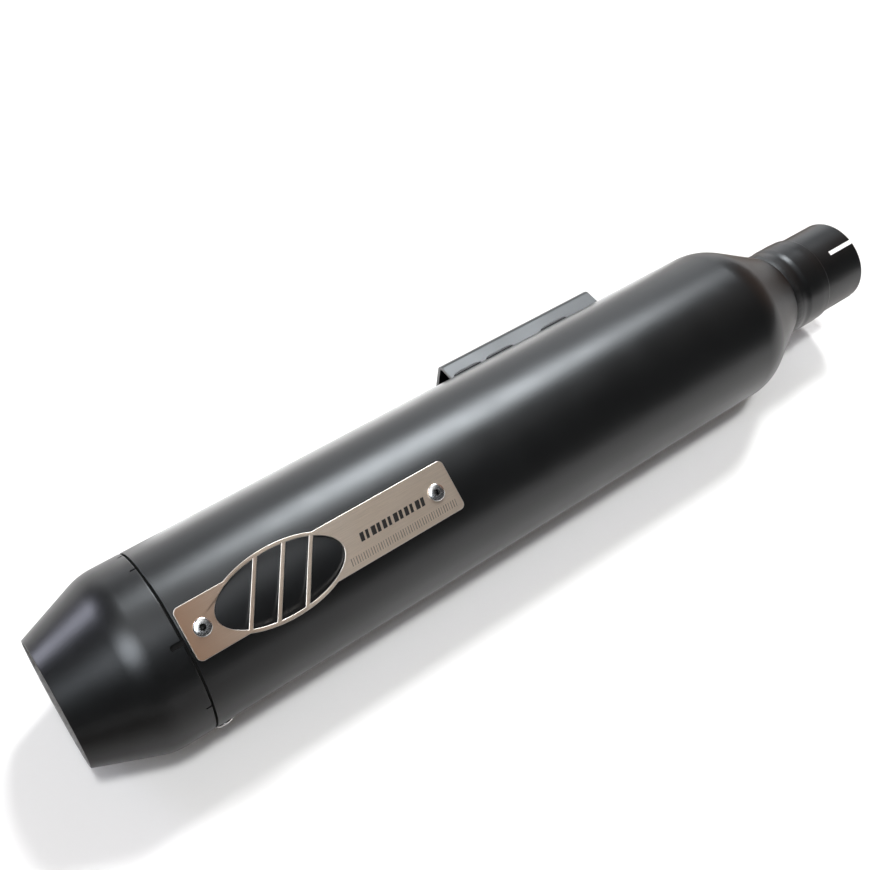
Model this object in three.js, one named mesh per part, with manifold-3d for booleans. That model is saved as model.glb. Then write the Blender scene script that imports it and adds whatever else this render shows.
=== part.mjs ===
// Slip-on motorcycle muffler: a straight-through, glass-packed silencer.
// Millimetres. +X runs along the axis and out of the inlet, +Y is the way the mounting
// bracket faces, +Z is up. The origin is the centre of the inlet mouth.
// Inside this file x is counted from the outlet plane, and the whole group is moved once.
// Angles round the axis are in degrees from +Z towards +Y.

import Module from 'manifold-3d';
import * as THREE from 'three';
import { mergeVertices } from 'three/addons/utils/BufferGeometryUtils.js';

const wasm = await Module();
wasm.setup();

// Driving dimensions
const overallLength = 564;
const bodyRadius = 50;
const sheet = 1.5; // wall of every sheet-metal piece, unless it has its own
const gap = 0.3; // clearance that welded or nested neighbours keep
const facets = 40; // sides of every turned piece, so that nested walls stay parallel

// End cap, at the outlet end
const outletRadius = 35;
const capConeAngle = 22;
const capShoulderRadius = 35;
const capShoulderX = 43.8; // where the cone has blended into the cylinder
const capEndX = 59;
const lipChamfer = 0.6;
const keywayAngle = -32;
const keywayLength = 6.5;
const keywayWidth = 3;
const notchAngles = [43.6, 21.6, -75.4];
const notchLength = 3;
const notchWidth = 0.9;
const sawnCorner = 0.2; // corner rounding of a notch or slot that is sawn in from the edge

// Body sleeve and front cone
const bodyStartX = 60;
const shoulderStartX = 449;
const shoulderRadius = 38;
const coneAngle = 27.5;
const coneEndX = 498.8;

// Inlet
const inletRadius = 27.5;
const inletTubeStartX = 470;
const neckWeldCrown = 29.6;
const neckSleeveStartX = 504.4;
const neckSleeveRadius = 29.1;
const neckGrooveX = 509.5; // the sleeve is rolled in here to grip the tube
const neckGrooveRadius = 28.3;
const neckTaperX = 520; // and is swaged down from here to its end
const neckSleeveEndX = 531;
const neckSleeveEndRadius = 28.1;
const clampSlotAngles = [-18, 72, 162, -108];
const clampSlotLength = 21.5;
const clampSlotWidth = 3;

// Gas path and packing
const coreRadius = 25.6;
const coreWall = 1.2;
const coreStartX = 80;
const coreEndX = 478;
const outletTubeRadius = 27.4;
const outletTubeStartX = 12;
const outletTubeEndX = 92;
const spigotStartX = 44;
const spigotEndX = 86;
const rearFlange = 10;
const frontBulkheadX = 440;
const frontFlange = 10;
const woolRadius = 28.6;
const holeRadius = 4;
const holesRound = 6;
const holeRows = 8;
const firstHoleX = 110;
const lastHoleX = 425;
const pocketDepth = 9;
const pocketRadius = 4.5;

// Mounting bracket, a folded channel
const bracketStartX = 271;
const bracketLength = 114;
const bracketWidth = 47;
const bracketFaceY = 56.7;
const bracketWall = 2;
const foldRadius = 4.2;
const boltSlotSpacing = 60;
const boltSlotLength = 20;
const boltSlotWidth = 8.5;
const stitchPlaces = [12, 36, 78]; // middles of the stitch welds, from the bracket's outlet end
const stitchLength = 20;
const stitchRadius = 1.7;
const stitchOut = 0.9; // how far the bead's middle is out from the flange's face
const stitchUp = 0.2; // and up from the flange's foot

// Nameplate
const plateAngle = -30;
const plateStartX = 61;
const plateLength = 156;
const plateWidth = 28;
const plateThickness = 1.3;
const plateCorner = 3;
const ovalX = 113;
const ovalHalfLength = 37.5;
const ovalHalfWidth = 18.6;
const ovalRing = 2;
const ovalBarWidth = 2.2;
const ovalBarSpacing = 16;
const ovalBarTilt = 32;

// Blind rivets, 4.8 mm
const rivetHeadRadius = 4.7;
const rivetHeadHeight = 1.4;
const rivetRadius = 2.4;
const rivetBore = 1.5;
const rivetRim = 0.35; // height of the head's edge
const rivetLip = 0.2; // rounding at the mouth of the bore
const rivetTail = 3.2;
const rivetSwell = 0.8; // what the tail gains in radius when it is pulled
const rivetSeat = 0.1; // clearance under a rivet head
const mandrelStub = 1.15;
const mandrelHeadRadius = 2.1;
const mandrelHead = 2.2;
const mandrelDepth = 2.2; // where the pin has snapped, below the top of the rivet's head
const capRivetX = 64.9;
const capRivetAngles = { cap_rivet_lower: -117, cap_rivet_upper: 104 };
const plateRivetX = { nameplate_rivet_rear: 70, nameplate_rivet_front: 206 };

const boreClearance = rivetRadius + gap;
const bodyBore = bodyRadius - sheet;
const spigotRadius = bodyBore - gap;
const spigotBore = spigotRadius - sheet;
const tubeClearance = inletRadius + gap;
const plateBase = bodyRadius + gap;
const plateTop = plateBase + plateThickness;
const past = 2; // how far a cutter runs out past the edge that it cuts
const reach = 10; // length of a cutter through one wall, half of it on each side
const roundEnd = 0.498; // corner radius of a slot with round ends, as a part of its width
const radians = THREE.MathUtils.degToRad;

// Materials
const blackCoat = new THREE.MeshStandardMaterial({ color: 0x2a2b2d, roughness: 0.5, metalness: 0.2 });
const barePipe = new THREE.MeshStandardMaterial({ color: 0x8c8a86, roughness: 0.4, metalness: 0.9 });
const brushedSteel = new THREE.MeshStandardMaterial({ color: 0xa39488, roughness: 0.35, metalness: 1 });
const brightSteel = new THREE.MeshStandardMaterial({ color: 0xd0d0d0, roughness: 0.2, metalness: 1 });
const steelWool = new THREE.MeshStandardMaterial({ color: 0x7d7d7a, roughness: 0.7, metalness: 0.6 });
const glassFibre = new THREE.MeshStandardMaterial({ color: 0xd8d2b8, roughness: 0.95, metalness: 0 });

// Leaves position only, shares every vertex, and turns the faces outwards.
function closed(geometry) {
  geometry.deleteAttribute('normal');
  geometry.deleteAttribute('uv');
  const merged = mergeVertices(geometry, 1e-4);
  const position = merged.getAttribute('position');
  const corner = (index) => new THREE.Vector3().fromBufferAttribute(position, index);
  const triangles = [];
  let volume = 0;
  const index = merged.getIndex().array;
  for (let i = 0; i < index.length; i += 3) {
    const [a, b, c] = index.slice(i, i + 3);
    if (a === b || b === c || c === a) continue;
    triangles.push([a, b, c]);
    volume += corner(a).dot(corner(b).cross(corner(c)));
  }
  if (volume < 0) triangles.forEach((triangle) => triangle.reverse());
  merged.setIndex(triangles.flat());
  return merged;
}

function solid(geometry) {
  const mesh = new wasm.Mesh({
    numProp: 3,
    vertProperties: new Float32Array(geometry.getAttribute('position').array),
    triVerts: new Uint32Array(geometry.getIndex().array),
  });
  return new wasm.Manifold(mesh);
}

function surface(manifold) {
  const mesh = manifold.getMesh();
  const geometry = new THREE.BufferGeometry();
  geometry.setAttribute('position', new THREE.BufferAttribute(mesh.vertProperties, 3));
  geometry.setIndex(new THREE.BufferAttribute(mesh.triVerts, 1));
  return geometry;
}

function cut(base, cutters) {
  const result = cutters.reduce((rest, cutter) => rest.subtract(solid(cutter)), solid(base));
  return surface(result);
}

// A solid of revolution about X. The profile is a list of [x, radius], and closes on itself
// unless it starts and ends on the axis.
function turned(profile, segments = facets) {
  const points = profile.map(([x, radius]) => new THREE.Vector2(radius, x));
  if (points[0].x > 0) points.push(points[0].clone());
  return closed(new THREE.LatheGeometry(points, segments).rotateZ(-Math.PI / 2));
}

// The same about Z, for pieces that stand on the body. The profile is a list of [z, radius].
function upright(profile, segments) {
  return turned(profile, segments).rotateY(-Math.PI / 2);
}

function tube(startX, endX, outer, inner) {
  return turned([[startX, outer], [endX, outer], [endX, inner], [startX, inner]]);
}

// Points on an arc in the profile plane, its angles in degrees from +radius towards +x.
function arc(centreX, centreR, radius, from, to, steps) {
  return Array.from({ length: steps + 1 }, (_, i) => {
    const angle = radians(from + ((to - from) * i) / steps);
    return [centreX + radius * Math.sin(angle), centreR + radius * Math.cos(angle)];
  });
}

// The wall under an outline of [x, radius]: each point is moved inwards along its normal.
function wall(outline, thickness, least) {
  const inner = outline.map(([x, radius], i) => {
    const [x0, r0] = outline[Math.max(i - 1, 0)];
    const [x1, r1] = outline[Math.min(i + 1, outline.length - 1)];
    const length = Math.hypot(x1 - x0, r1 - r0);
    const innerX = x + ((r1 - r0) / length) * thickness;
    const innerR = radius - ((x1 - x0) / length) * thickness;
    return [innerX, Math.max(innerR, least)];
  });
  const [first, last] = [0, outline.length - 1];
  inner[first][0] = outline[first][0];
  inner[last][0] = outline[last][0];
  return [...outline, ...inner.reverse()];
}

// Turns and moves a geometry that stands along Z so that it stands out of the body at (x, angle).
function onBody(geometry, x, angle) {
  return geometry.rotateX(-radians(angle)).translate(x, 0, 0);
}

function roundedRectangle(length, width, corner) {
  const [u, v] = [length / 2 - corner, width / 2 - corner];
  const shape = new THREE.Shape();
  shape.absarc(u, -v, corner, -Math.PI / 2, 0, false);
  shape.absarc(u, v, corner, 0, Math.PI / 2, false);
  shape.absarc(-u, v, corner, Math.PI / 2, Math.PI, false);
  shape.absarc(-u, -v, corner, Math.PI, Math.PI * 1.5, false);
  shape.closePath();
  return shape;
}

function extruded(shape, depth, curveSegments) {
  return closed(new THREE.ExtrudeGeometry(shape, { depth, curveSegments, bevelEnabled: false }));
}

// A slot cutter that goes through the wall of a tube. It starts at x and runs towards +x.
function slotCutter(x, angle, length, width, radius, corner) {
  const cutter = extruded(roundedRectangle(length, width, corner), reach, 6);
  return onBody(cutter.translate(length / 2, 0, radius - reach / 2), x, angle);
}

// A round cutter from height to height along Z.
function drill(low, high, radius, segments) {
  return upright([[low, 0], [low, radius], [high, radius], [high, 0]], segments);
}

function rivetHole(x, angle) {
  return onBody(drill(bodyRadius - reach, bodyRadius + reach, boreClearance, 16), x, angle);
}

// Where the rivets are: name, x, angle, the face that the head sits on and the last sheet's bore.
const rivets = [
  ...Object.entries(capRivetAngles).map(([name, angle]) => {
    return { name, x: capRivetX, angle, seat: bodyRadius + gap, grip: spigotBore };
  }),
  ...Object.entries(plateRivetX).map(([name, x]) => {
    const grip = x < spigotEndX ? spigotBore : bodyBore;
    return { name, x, angle: plateAngle, seat: plateTop + rivetSeat, grip };
  }),
];

function endCap() {
  const shoulder = arc(capShoulderX, bodyRadius - capShoulderRadius, capShoulderRadius, -capConeAngle, 0, 3);
  const lip = [[0, outletRadius - lipChamfer], [lipChamfer, outletRadius]];
  const outline = [...lip, ...shoulder, [capEndX, bodyRadius]];
  const keyway = slotCutter(
    capEndX - keywayLength, keywayAngle, keywayLength + past, keywayWidth, bodyRadius, roundEnd * keywayWidth,
  );
  const notches = notchAngles.map((angle) => {
    return slotCutter(capEndX - notchLength, angle, notchLength + past, notchWidth, bodyRadius, sawnCorner);
  });
  return cut(turned(wall(outline, sheet, 0)), [keyway, ...notches]);
}

function bodyShell() {
  const holes = rivets.map(({ x, angle }) => rivetHole(x, angle));
  return cut(tube(bodyStartX, shoulderStartX, bodyRadius, bodyBore), holes);
}

function frontCone() {
  const shoulder = arc(shoulderStartX, bodyRadius - shoulderRadius, shoulderRadius, 0, coneAngle, 5);
  const [endX, endR] = shoulder[shoulder.length - 1];
  const neckRadius = endR - (coneEndX - endX) * Math.tan(radians(coneAngle));
  const outline = [...shoulder, [coneEndX, neckRadius]];
  outline[0][0] += gap;
  return turned(wall(outline, sheet, tubeClearance));
}

// The half-round bead between the cone and the neck sleeve.
function neckWeld() {
  const [startX, endX] = [coneEndX + gap, neckSleeveStartX - gap];
  const half = (endX - startX) / 2;
  const root = tubeClearance + gap;
  const crown = Array.from({ length: 5 }, (_, i) => {
    const angle = (Math.PI * i) / 4;
    return [startX + half - half * Math.cos(angle), root + (neckWeldCrown - root) * Math.sin(angle)];
  });
  return turned([[startX, tubeClearance], ...crown, [endX, tubeClearance]]);
}

// A short sleeve round the inlet tube, with one rolled groove and a swaged end.
function neckSleeve() {
  const grooveHalf = (neckGrooveX - neckSleeveStartX) / 2;
  return turned([
    [neckSleeveStartX, tubeClearance],
    [neckSleeveStartX, neckSleeveRadius - gap],
    [neckGrooveX - grooveHalf, neckSleeveRadius - gap],
    [neckGrooveX, neckGrooveRadius],
    [neckGrooveX + 2 * grooveHalf, neckSleeveRadius],
    [neckTaperX, neckSleeveRadius],
    [neckSleeveEndX, neckSleeveEndRadius],
    [neckSleeveEndX, tubeClearance],
  ]);
}

function inletTube() {
  const startX = overallLength - clampSlotLength;
  const slots = clampSlotAngles.map((angle) => {
    return slotCutter(startX, angle, clampSlotLength + past, clampSlotWidth, inletRadius, sawnCorner);
  });
  return cut(tube(inletTubeStartX, overallLength, inletRadius, inletRadius - sheet), slots);
}

function capSpigot() {
  const holes = rivets.filter(({ x }) => x < spigotEndX).map(({ x, angle }) => rivetHole(x, angle));
  return cut(tube(spigotStartX, spigotEndX, spigotRadius, spigotBore), holes);
}

// A pressed disc with a flange along the wall that it is welded to. The flange runs from the disc by
// flangeLength, towards -x where that is negative.
function bulkhead(discX, holeInDisc, rim, flangeLength) {
  const back = discX + Math.sign(flangeLength) * sheet;
  const flangeX = discX + flangeLength;
  return turned([
    [discX, holeInDisc], [discX, rim], [flangeX, rim],
    [flangeX, rim - sheet], [back, rim - sheet], [back, holeInDisc],
  ]);
}

function perforatedCore() {
  const holes = [];
  for (let row = 0; row < holeRows; row += 1) {
    const x = firstHoleX + ((lastHoleX - firstHoleX) * row) / (holeRows - 1);
    for (let i = 0; i < holesRound; i += 1) {
      const angle = ((i + (row % 2) / 2) * 360) / holesRound;
      holes.push(onBody(drill(coreRadius - reach / 2, coreRadius + reach / 2, holeRadius, 6), x, angle));
    }
  }
  return cut(tube(coreStartX, coreEndX, coreRadius, coreRadius - coreWall), holes);
}

// The packing, with a pocket where the front nameplate rivet's tail has pushed it in.
function packingBlanket() {
  const pocket = drill(spigotRadius - pocketDepth, spigotRadius + pocketDepth, pocketRadius, 12);
  onBody(pocket, plateRivetX.nameplate_rivet_front, plateAngle);
  const blanket = tube(spigotEndX + gap, frontBulkheadX - gap, spigotRadius, woolRadius + gap);
  return cut(blanket, [pocket]);
}

// Everything inside the body's skin, cut away from what stands on it.
function bodyClearance() {
  return turned([[0, 0], [0, plateBase], [overallLength, plateBase], [overallLength, 0]]);
}

// The channel: its two flanges are cut to the body's curve, and its face is slotted for the bolts.
function bracketChannel() {
  const half = bracketWidth / 2;
  const footY = bodyRadius - reach;
  const outer = bracketFaceY;
  const inner = bracketFaceY - bracketWall;
  const innerFold = foldRadius - bracketWall;
  const shape = new THREE.Shape();
  shape.moveTo(footY, -half);
  shape.absarc(outer - foldRadius, -half + foldRadius, foldRadius, -Math.PI / 2, 0, false);
  shape.absarc(outer - foldRadius, half - foldRadius, foldRadius, 0, Math.PI / 2, false);
  shape.lineTo(footY, half);
  shape.lineTo(footY, half - bracketWall);
  shape.absarc(inner - innerFold, half - foldRadius, innerFold, Math.PI / 2, 0, true);
  shape.absarc(inner - innerFold, -half + foldRadius, innerFold, 0, -Math.PI / 2, true);
  shape.lineTo(footY, -half + bracketWall);
  shape.closePath();
  const alongX = new THREE.Matrix4().makeBasis(
    new THREE.Vector3(0, 1, 0), new THREE.Vector3(0, 0, 1), new THREE.Vector3(1, 0, 0),
  );
  const channel = extruded(shape, bracketLength, 4).applyMatrix4(alongX).translate(bracketStartX, 0, 0);
  const middle = bracketStartX + bracketLength / 2;
  const slots = [-1, 1].map((side) => {
    const start = middle + (side * boltSlotSpacing) / 2 - boltSlotLength / 2;
    return slotCutter(start, 90, boltSlotLength, boltSlotWidth, bracketFaceY, roundEnd * boltSlotWidth);
  });
  return cut(channel, [bodyClearance(), ...slots]);
}

// A fillet bead in the corner between a bracket flange and the body.
function stitchWeld(x, side) {
  const footZ = bracketWidth / 2;
  const footY = Math.sqrt(bodyRadius ** 2 - footZ ** 2);
  const bead = closed(new THREE.CapsuleGeometry(stitchRadius, stitchLength - 2 * stitchRadius, 3, 10));
  bead.rotateZ(Math.PI / 2).translate(x, footY + stitchUp, side * (footZ + stitchOut));
  const flange = closed(new THREE.BoxGeometry(2 * stitchLength, 2 * reach, bracketWidth + 2 * gap));
  flange.translate(x, footY, 0);
  return cut(bead, [flange, bodyClearance()]);
}

// A flat plate with an oval window in it. Three slanting bars cross the window.
function nameplate() {
  const plate = extruded(roundedRectangle(plateLength, plateWidth, plateCorner), plateThickness, 4);
  plate.translate(plateStartX + plateLength / 2, 0, 0);
  const oval = (inset, depth) => {
    const shape = new THREE.Shape();
    shape.absellipse(0, 0, ovalHalfLength - inset, ovalHalfWidth - inset, 0, Math.PI * 2, false, 0);
    return extruded(shape, depth, 20);
  };
  const rim = solid(oval(0, plateThickness).translate(ovalX, 0, 0));
  const window = solid(oval(ovalRing, 3 * plateThickness).translate(ovalX, 0, -plateThickness));
  const bars = [-1, 0, 1].map((i) => {
    const bar = closed(new THREE.BoxGeometry(ovalBarWidth, 4 * ovalHalfWidth, plateThickness));
    bar.rotateZ(-radians(ovalBarTilt)).translate(ovalX + i * ovalBarSpacing, 0, plateThickness / 2);
    return solid(bar).intersect(rim);
  });
  const frame = solid(plate).add(rim).subtract(window);
  const whole = bars.reduce((result, bar) => result.add(bar), frame);
  const holes = Object.values(plateRivetX).map((x) => {
    return drill(-plateThickness, 2 * plateThickness, boreClearance, 16).translate(x, 0, 0);
  });
  return cut(surface(whole), holes).translate(0, 0, plateBase);
}

// The hollow rivet: a domed head, the shank through the sheets, and the tail swollen behind them.
function rivetBody(seat, grip) {
  const tail = grip - 2 * gap;
  const tailEnd = tail - rivetTail;
  const headTop = seat + rivetHeadHeight;
  const swell = rivetRadius + rivetSwell;
  const lip = rivetBore + rivetLip;
  const dome = Array.from({ length: 4 }, (_, i) => {
    const along = i / 3;
    return [headTop - (rivetHeadHeight - rivetRim) * along ** 2, lip + (rivetHeadRadius - lip) * along];
  });
  return upright([
    ...dome, [seat, rivetHeadRadius], [seat, rivetRadius], [tail, rivetRadius],
    [tail - rivetSwell, swell], [tailEnd + rivetSwell, swell], [tailEnd, rivetRadius],
    [tailEnd, rivetBore], [headTop - rivetLip, rivetBore],
  ], 16);
}

// What is left of the rivet's pulling pin: a stub in the bore, with its head behind the tail.
function mandrel(seat, grip) {
  const top = seat + rivetHeadHeight - mandrelDepth;
  const headTop = grip - 2 * gap - rivetTail - gap;
  const headEnd = headTop - mandrelHead;
  return upright([
    [top, 0], [top, mandrelStub], [headTop, mandrelStub], [headTop, mandrelHeadRadius],
    [headTop - mandrelHead / 2, mandrelHeadRadius], [headEnd, mandrelStub], [headEnd, 0],
  ], 12);
}

const muffler = new THREE.Group();
muffler.position.x = -overallLength;

function add(name, geometry, material, parent = muffler) {
  const mesh = new THREE.Mesh(geometry, material);
  mesh.name = name;
  parent.add(mesh);
}

add('end_cap', endCap(), blackCoat);
add('body_shell', bodyShell(), blackCoat);
add('front_cone', frontCone(), blackCoat);
add('neck_weld', neckWeld(), blackCoat);
add('neck_sleeve', neckSleeve(), blackCoat);
add('inlet_tube', inletTube(), blackCoat);

add('cap_spigot', capSpigot(), barePipe);
const outletTube = tube(outletTubeStartX, outletTubeEndX, outletTubeRadius, outletTubeRadius - sheet);
add('outlet_tube', outletTube, barePipe);
add('rear_bulkhead', bulkhead(spigotEndX, outletTubeRadius + gap, spigotBore - gap, -rearFlange), barePipe);
add('front_bulkhead', bulkhead(frontBulkheadX, coreRadius + gap, spigotRadius, frontFlange), barePipe);
add('perforated_core', perforatedCore(), barePipe);
add('core_wool', tube(outletTubeEndX + gap, frontBulkheadX - gap, woolRadius, coreRadius + gap), steelWool);
add('packing_blanket', packingBlanket(), glassFibre);

add('bracket_channel', bracketChannel(), blackCoat);
stitchPlaces.forEach((place, i) => {
  add(`bracket_weld_upper_${i + 1}`, stitchWeld(bracketStartX + place, 1), blackCoat);
  add(`bracket_weld_lower_${i + 1}`, stitchWeld(bracketStartX + place, -1), blackCoat);
});

const plateGroup = new THREE.Group();
plateGroup.rotation.x = -radians(plateAngle);
muffler.add(plateGroup);
add('nameplate', nameplate(), brushedSteel, plateGroup);

for (const { name, x, angle, seat, grip } of rivets) {
  const station = new THREE.Group();
  station.position.x = x;
  station.rotation.x = -radians(angle);
  muffler.add(station);
  add(name, rivetBody(seat, grip), brightSteel, station);
  add(`${name}_mandrel`, mandrel(seat, grip), brightSteel, station);
}

export default muffler;
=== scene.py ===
"""Slip-on motorcycle muffler: the looks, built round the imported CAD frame. Metres, in the CAD's own frame.

+X runs along the axis and out of the inlet, +Y is the way the bracket faces, +Z is up. The origin is the
centre of the inlet mouth. Angles round the axis are in degrees from +Z towards +Y.
"""

import math

import bmesh
import bpy
from mathutils import Matrix, Vector, noise


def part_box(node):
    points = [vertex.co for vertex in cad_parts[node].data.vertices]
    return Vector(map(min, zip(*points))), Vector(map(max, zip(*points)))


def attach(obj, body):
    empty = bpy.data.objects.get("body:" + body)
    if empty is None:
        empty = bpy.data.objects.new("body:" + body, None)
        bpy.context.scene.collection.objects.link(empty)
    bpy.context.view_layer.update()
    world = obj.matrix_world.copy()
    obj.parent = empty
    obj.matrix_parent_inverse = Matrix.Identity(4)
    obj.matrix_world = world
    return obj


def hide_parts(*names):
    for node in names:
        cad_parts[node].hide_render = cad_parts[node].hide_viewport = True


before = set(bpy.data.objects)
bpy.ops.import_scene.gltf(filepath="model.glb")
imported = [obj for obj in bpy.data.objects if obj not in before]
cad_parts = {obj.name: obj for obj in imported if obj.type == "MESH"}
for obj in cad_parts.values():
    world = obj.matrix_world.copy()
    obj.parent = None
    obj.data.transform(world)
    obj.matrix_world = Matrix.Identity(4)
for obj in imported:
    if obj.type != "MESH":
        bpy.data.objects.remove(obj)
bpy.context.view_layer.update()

MM = 0.001
ROOT = "root"
FACETS = 192  # sides of a turned piece


# ------------------------------------------------------------------ sizes and places

def low_x(node):
    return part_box(node)[0].x


def high_x(node):
    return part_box(node)[1].x


def outer_radius(node):
    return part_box(node)[1].z


def rivet_x(node):
    low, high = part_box(node)
    return (low.x + high.x) / 2


OUTLET_X = low_x("end_cap")
CAP_END_X = high_x("end_cap")
BODY_START_X = low_x("body_shell")
SHOULDER_X = high_x("body_shell")
CONE_END_X = high_x("front_cone")
BODY_R = outer_radius("body_shell")
INLET_R = outer_radius("inlet_tube")
SHEET = 1.5 * MM
GAP = 0.3 * MM
BODY_BORE = BODY_R - SHEET
SPIGOT_R = BODY_BORE - GAP
SPIGOT_BORE = SPIGOT_R - SHEET
TUBE_CLEARANCE = INLET_R + GAP
EDGE = 0.3 * MM  # rounding of a cut sheet edge
SLOT_CORNER = 0.25 * MM
ROUND_END = 0.499  # corner radius of a slot with round ends, as a share of its width

# End cap
LIP_R = 35 * MM
LIP_ROUNDING = 0.7 * MM
CAP_CONE_ANGLE = 22
CAP_SHOULDER_R = 35 * MM
CAP_SHOULDER_X = OUTLET_X + 43.8 * MM
KEYWAY_ANGLE = -32
KEYWAY = (6.5 * MM, 3 * MM)  # slots are given as length and width
NOTCH_ANGLES = (43.6, 21.6, -75.4)
NOTCH = (3 * MM, 0.9 * MM)

# Front cone and neck
SHOULDER_R = 38 * MM
CONE_ANGLE = 27.5
CLAMP_SLOT_ANGLES = (-18, 72, 162, -108)
CLAMP_SLOT = (21.5 * MM, 3 * MM)

# Gas path
CORE_R = outer_radius("perforated_core")
CORE_WALL = 1.2 * MM
OUTLET_TUBE_R = outer_radius("outlet_tube")
CORE_PLAIN_REAR = 30 * MM  # how much of each end has no holes
CORE_PLAIN_FRONT = 45 * MM
PERFORATION_COLUMNS = 26
PERFORATION_PITCH = 6 * MM
PERFORATION_R = 1.6 * MM

# Bracket
BRACKET_LOW, BRACKET_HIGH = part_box("bracket_channel")
BRACKET_WALL = 2 * MM
FOLD_R = 4.2 * MM
FLANGE_CORNER = 3 * MM
STITCH_R = 1.3 * MM
STITCH_OUT = 0.5 * MM
STITCH_UP = 0.2 * MM
BOLT_SLOT_SPACING = 60 * MM
BOLT_SLOT = (20 * MM, 8.5 * MM)

# Nameplate
PLATE_ANGLE = -30
PLATE_LOW_X, PLATE_HIGH_X = low_x("nameplate"), high_x("nameplate")
PLATE_WIDTH = 28 * MM
PLATE_THICKNESS = 1.3 * MM
PLATE_CORNER = 3 * MM
PLATE_BEVEL = 0.25 * MM
PLATE_BASE = BODY_R + GAP
PLATE_TOP = PLATE_BASE + PLATE_THICKNESS
OVAL_X = OUTLET_X + 113 * MM
OVAL = (37.5 * MM, 18.6 * MM)  # half its length and half its width
OVAL_RING = 2 * MM
OVAL_BAR = 2.2 * MM
OVAL_BAR_SPACING = 16 * MM
OVAL_BAR_TILT = 32

# Blind rivets
RIVET_HEAD_R = 4.7 * MM
RIVET_HEAD = 1.4 * MM
RIVET_R = 2.4 * MM
RIVET_BORE = 1.5 * MM
RIVET_TAIL = 3.2 * MM  # length of the swollen part
PIN_SUNK = 3.0 * MM  # how far the snapped pin lies below the top of the head
CAP_RIVETS = ("cap_rivet_lower", "cap_rivet_upper")
PLATE_RIVETS = ("nameplate_rivet_rear", "nameplate_rivet_front")
RIVET_ANGLES = {
    "cap_rivet_lower": -117,
    "cap_rivet_upper": 104,
    "nameplate_rivet_rear": PLATE_ANGLE,
    "nameplate_rivet_front": PLATE_ANGLE,
}


# ------------------------------------------------------------------ mesh helpers

def arc(centre_x, centre_r, radius, start, end, steps):
    """Points of an arc in the profile plane, its angles in degrees from +radius towards +x."""
    angles = [math.radians(start + (end - start) * i / steps) for i in range(steps + 1)]
    return [(centre_x + radius * math.sin(a), centre_r + radius * math.cos(a)) for a in angles]


def wall(outline, thickness, least=0.0):
    """A closed profile: the outline, and back along it moved inwards by the thickness."""
    inner = []
    for i, (x, radius) in enumerate(outline):
        x0, r0 = outline[max(i - 1, 0)]
        x1, r1 = outline[min(i + 1, len(outline) - 1)]
        length = math.hypot(x1 - x0, r1 - r0)
        inner_r = max(radius - (x1 - x0) / length * thickness, least)
        inner.append((x + (r1 - r0) / length * thickness, inner_r))
    inner[0] = (outline[0][0], inner[0][1])
    inner[-1] = (outline[-1][0], inner[-1][1])
    return outline + inner[::-1]


def soften(profile, radius=EDGE, steps=3, least=50, square_x=None):
    """Rounds each corner of a closed profile that turns by more than least degrees, but none at square_x."""
    softened = []
    for i, point in enumerate(profile):
        corner = Vector(point)
        back = Vector(profile[i - 1]) - corner
        ahead = Vector(profile[(i + 1) % len(profile)]) - corner
        turn = math.pi - back.angle(ahead)
        if math.degrees(turn) < least or point[1] == 0 or point[0] == square_x:
            softened.append(tuple(point))
            continue
        reach = min(radius * math.tan(turn / 2), 0.45 * back.length, 0.45 * ahead.length)
        start = corner + back.normalized() * reach
        end = corner + ahead.normalized() * reach
        for step in range(steps + 1):
            t = step / steps
            softened.append(tuple(start * (1 - t) ** 2 + corner * 2 * t * (1 - t) + end * t ** 2))
    return softened


def ring(start_x, end_x, outer, inner):
    return soften([(start_x, outer), (end_x, outer), (end_x, inner), (start_x, inner)])


def turned(profile, facets=FACETS):
    """A mesh of a closed profile of (x, radius) turned about X. It may start and end on the axis."""
    bm = bmesh.new()
    angles = [2 * math.pi * i / facets for i in range(facets)]
    rings = []
    for x, radius in profile:
        if radius == 0:
            rings.append([bm.verts.new((x, 0, 0))])
        else:
            rings.append([bm.verts.new((x, radius * math.sin(a), radius * math.cos(a))) for a in angles])
    for a, b in zip(rings, rings[1:] + rings[:1]):
        if len(a) == 1 and len(b) == 1:
            continue
        for i in range(facets):
            j = (i + 1) % facets
            corners = [a[i % len(a)], a[j % len(a)], b[j % len(b)], b[i % len(b)]]
            bm.faces.new(list(dict.fromkeys(corners)))
    return finished(bm)


def finished(bm):
    bmesh.ops.recalc_face_normals(bm, faces=bm.faces)
    mesh = bpy.data.meshes.new("mesh")
    bm.to_mesh(mesh)
    bm.free()
    return mesh


def prism(bm, outline, low, high, matrix):
    """Adds a solid with this outline of (u, v) points between two heights, moved by the matrix."""
    bottom = [bm.verts.new(matrix @ Vector((u, v, low))) for u, v in outline]
    top = [bm.verts.new(matrix @ Vector((u, v, high))) for u, v in outline]
    bm.faces.new(bottom[::-1])
    bm.faces.new(top)
    for i in range(len(outline)):
        j = (i + 1) % len(outline)
        bm.faces.new((bottom[i], bottom[j], top[j], top[i]))


def rounded_rectangle(length, width, corner, steps=6):
    points = []
    for quarter, (su, sv) in enumerate(((1, 1), (-1, 1), (-1, -1), (1, -1))):
        centre_u = su * (length / 2 - corner)
        centre_v = sv * (width / 2 - corner)
        for step in range(steps + 1):
            angle = math.pi / 2 * (quarter + step / steps)
            points.append((centre_u + corner * math.cos(angle), centre_v + corner * math.sin(angle)))
    return points


def circle(u, v, radius, steps=48):
    return [(u + radius * math.cos(2 * math.pi * i / steps), v + radius * math.sin(2 * math.pi * i / steps))
            for i in range(steps)]


def on_body(x, angle):
    """Turns a piece that stands along Z so that it stands out of the body at (x, angle)."""
    return Matrix.Translation((x, 0, 0)) @ Matrix.Rotation(-math.radians(angle), 4, "X")


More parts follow.
